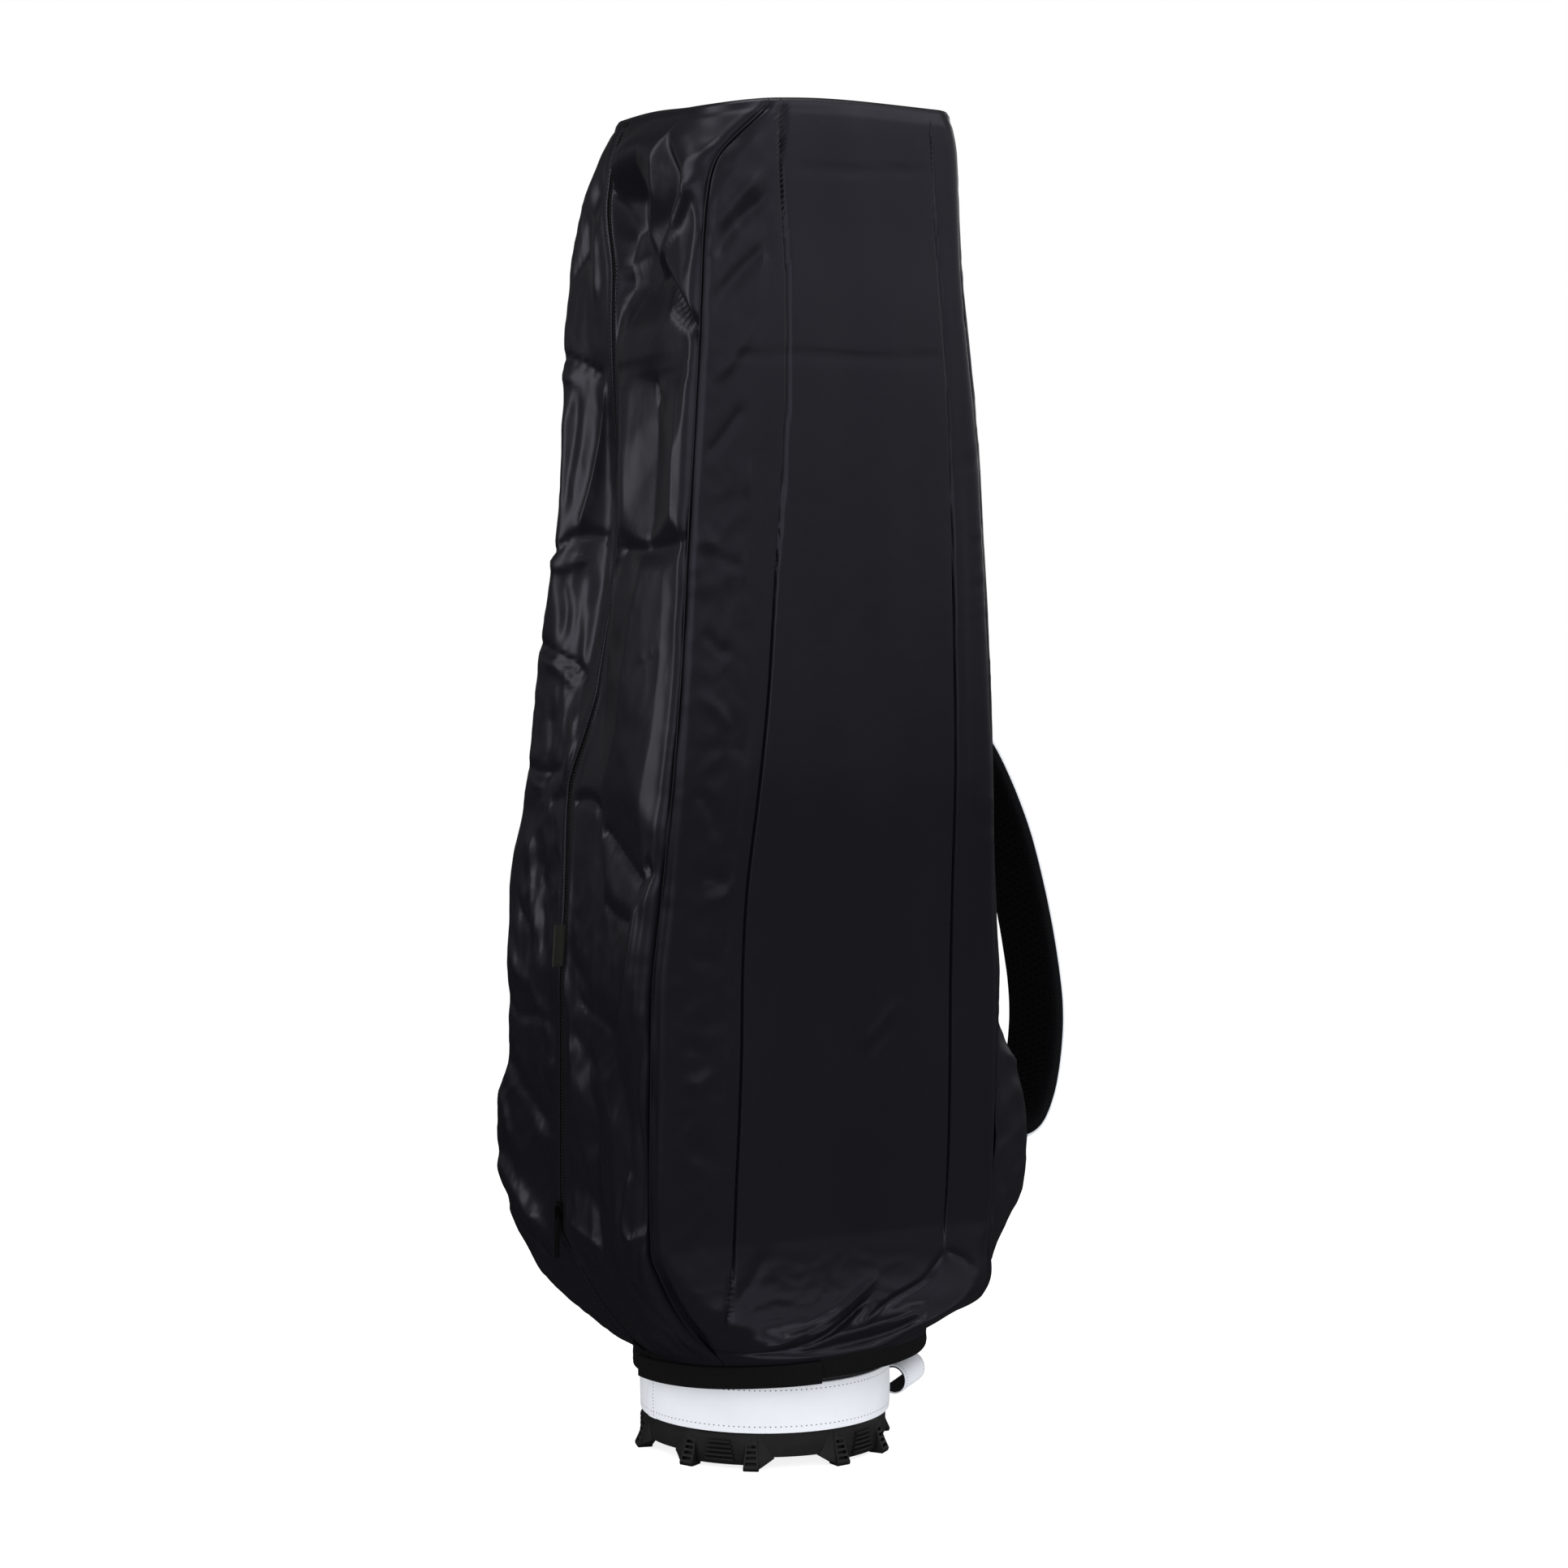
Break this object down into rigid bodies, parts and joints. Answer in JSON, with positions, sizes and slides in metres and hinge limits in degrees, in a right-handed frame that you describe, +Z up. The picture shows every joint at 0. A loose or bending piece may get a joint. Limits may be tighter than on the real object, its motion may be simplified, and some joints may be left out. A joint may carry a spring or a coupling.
{
  "type": "golf travel case",
  "caption": "Standing golf bag inside a zipped black nylon travel cover, with a cleated rubber base, white kick band, padded shoulder strap and bottom lift handle.",
  "frame": {"origin": "on the ground, in the middle of the footprint box of the whole case with its strap", "axes": "+Z up along the bag, -Y out of the front panel, +X towards the shoulder strap"},
  "size_m": [0.5318, 0.349, 1.2423],
  "materials": {
    "base_rubber": "moulded thermoplastic rubber, satin, fine grain",
    "cover_nylon": "black nylon twill with a satin sheen, creased",
    "lining_mesh": "black polyester lining and mesh",
    "black_webbing": "black ribbed polyester webbing",
    "white_leather": "white polyurethane leather, fine grain, semi-matt",
    "bag_cloth": "coated polyester shell of the bag",
    "black_plastic": "injection moulded, fine spark texture",
    "grey_foam": "closed-cell foam",
    "steel": "plated steel",
    "zip_metal": "zinc casting, dark nickel finish"
  },
  "bodies": {
    "bag_and_cover": {"base_moulding": "base_rubber", "floor_pad": "grey_foam", "kick_band": "white_leather", "bag_tube": "bag_cloth", "top_cuff": "black_plastic", "club_divider": "black_plastic", "club_partitions": "lining_mesh", "stay_rod_1": "steel", "stay_rod_2": "steel", "stay_rod_3": "steel", "cuff_grip": "black_plastic", "cover_front_panel": "cover_nylon", "cover_back_panel": "cover_nylon", "cover_left_front_gusset": "cover_nylon", "cover_left_rear_gusset": "cover_nylon", "cover_right_gusset": "cover_nylon", "upper_strap_port_binding": "black_webbing", "lower_strap_port_binding": "black_webbing", "cover_top_panel": "cover_nylon", "hem_band": "black_webbing", "zip_chain": "black_plastic", "zip_bottom_stop": "zip_metal", "side_tag": "black_webbing", "left_ball_pocket": "bag_cloth", "left_ball_pocket_zip_chain": "black_plastic", "back_garment_pocket": "bag_cloth", "back_garment_pocket_zip_chain": "black_plastic", "right_valuables_pocket": "bag_cloth", "right_valuables_pocket_zip_chain": "black_plastic", "upper_strap_anchor": "black_webbing", "upper_strap_ring": "steel", "lower_strap_anchor": "black_webbing", "lower_strap_ring": "steel", "lift_handle_anchor": "white_leather"},
    "zip_slider": {"zip_slider": "zip_metal"},
    "zip_puller": {"zip_puller": "zip_metal"},
    "shoulder_strap": {"strap_foam_pad": "grey_foam", "strap_mesh_lining": "lining_mesh", "strap_outer_face": "white_leather", "upper_strap_webbing": "black_webbing", "lower_strap_webbing": "black_webbing", "strap_adjuster": "black_plastic"},
    "hem_tab": {"hem_closure_tab": "black_webbing"},
    "lift_handle": {"lift_handle_face": "white_leather", "lift_handle_lining": "lining_mesh"},
    "left_pocket_slider": {"left_ball_pocket_slider": "zip_metal"},
    "back_pocket_slider": {"back_garment_pocket_slider": "zip_metal"},
    "right_pocket_slider": {"right_valuables_pocket_slider": "zip_metal"}
  },
  "joints": [
    {"name": "zip_slide", "type": "slide", "parent": "bag_and_cover", "child": "zip_slider", "axis": [0, 0, 1], "range_m": [0, 0.19]},
    {"name": "zip_puller_swing", "type": "hinge", "parent": "zip_slider", "child": "zip_puller", "pos_m": [-0.25921, 0.0205, 0.2283], "axis": [0, 1, 0], "range_deg": [0, 120]},
    {"name": "strap_swing", "type": "hinge", "parent": "bag_and_cover", "child": "shoulder_strap", "pos_m": [0.08769, -0.0095, 0.506], "axis": [0, 0, 1], "range_deg": [-20, 20]},
    {"name": "hem_tab_peel", "type": "hinge", "parent": "bag_and_cover", "child": "hem_tab", "pos_m": [-0.19191, -0.0147, 0.082], "axis": [0.0564, -0.0325, -0.9979], "range_deg": [0, 75]},
    {"name": "lift_handle_swing", "type": "hinge", "parent": "bag_and_cover", "child": "lift_handle", "pos_m": [0.05119, -0.0533, 0.06], "axis": [0.872, 0.464, 0.156], "range_deg": [-6, 10], "stiffness_Nm_per_rad": 0.1},
    {"name": "left_pocket_zip_slide", "type": "slide", "parent": "bag_and_cover", "child": "left_pocket_slider", "axis": [0, 0, 1], "range_m": [0, 0.26]},
    {"name": "back_pocket_zip_slide", "type": "slide", "parent": "bag_and_cover", "child": "back_pocket_slider", "axis": [0, 0, 1], "range_m": [0, 0.5]},
    {"name": "right_pocket_zip_slide", "type": "slide", "parent": "bag_and_cover", "child": "right_pocket_slider", "axis": [0, 0, 1], "range_m": [0, 0.07]}
  ]
}
